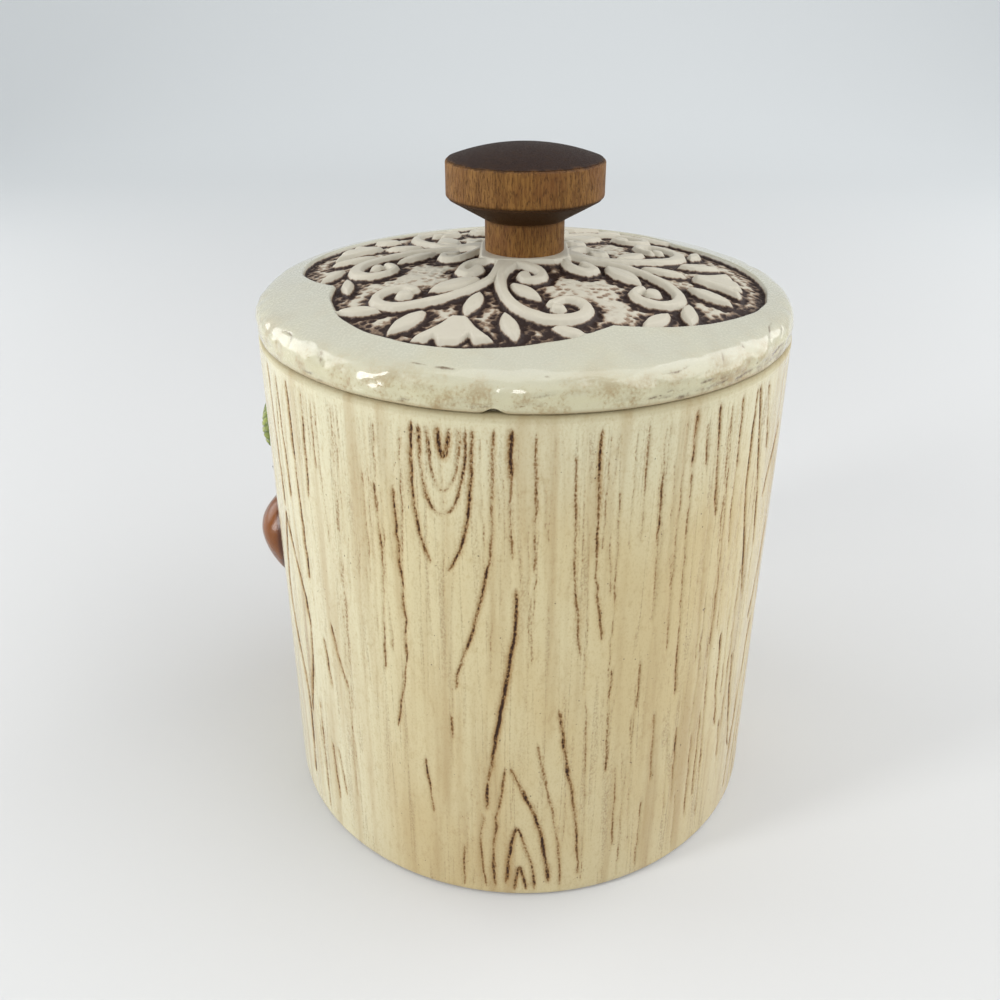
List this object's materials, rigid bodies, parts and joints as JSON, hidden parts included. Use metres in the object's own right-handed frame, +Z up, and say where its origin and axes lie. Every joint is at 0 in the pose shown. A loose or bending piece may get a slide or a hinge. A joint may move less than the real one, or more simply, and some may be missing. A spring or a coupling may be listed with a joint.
{
  "type": "tea canister",
  "caption": "Round glazed ceramic tea canister with wood-grain relief, a domed lift-off lid with a carved scroll panel, and a turned wooden knob.",
  "frame": {"origin": "centre of the flat base the canister stands on", "axes": "+Z up along the pot's axis, the fruit sprig faces -Y"},
  "size_m": [0.13, 0.136, 0.1708],
  "materials": {
    "pot_glaze": "glossy cream glaze with brown stain in the grain",
    "lid_glaze": "glossy cream glaze with dark brown stain in the carved panel",
    "knob_wood": "satin oiled wood, dark crown",
    "screw_steel": "bright zinc",
    "washer_steel": "bright zinc",
    "washer_fibre": "matt red-brown fibre",
    "twig_glaze": "glossy dark olive glaze",
    "fruit_glaze": "glossy orange-brown glaze",
    "leaf_glaze": "glossy green glaze"
  },
  "bodies": {
    "pot_body": {"pot": "pot_glaze", "twig": "twig_glaze", "fruit_1": "fruit_glaze", "fruit_2": "fruit_glaze", "fruit_3": "fruit_glaze", "fruit_4": "fruit_glaze", "fruit_5": "fruit_glaze", "leaf_1": "leaf_glaze", "leaf_2": "leaf_glaze", "leaf_3": "leaf_glaze", "leaf_4": "leaf_glaze", "leaf_5": "leaf_glaze", "leaf_6": "leaf_glaze"},
    "lid_body": {"lid": "lid_glaze", "knob": "knob_wood", "knob_screw": "screw_steel", "knob_washer": "washer_steel", "cushion_washer": "washer_fibre"}
  },
  "joints": [
    {"name": "lid_lift", "type": "slide", "parent": "pot_body", "child": "lid_body", "axis": [0, 0, 1], "range_m": [0, 0.08]}
  ]
}
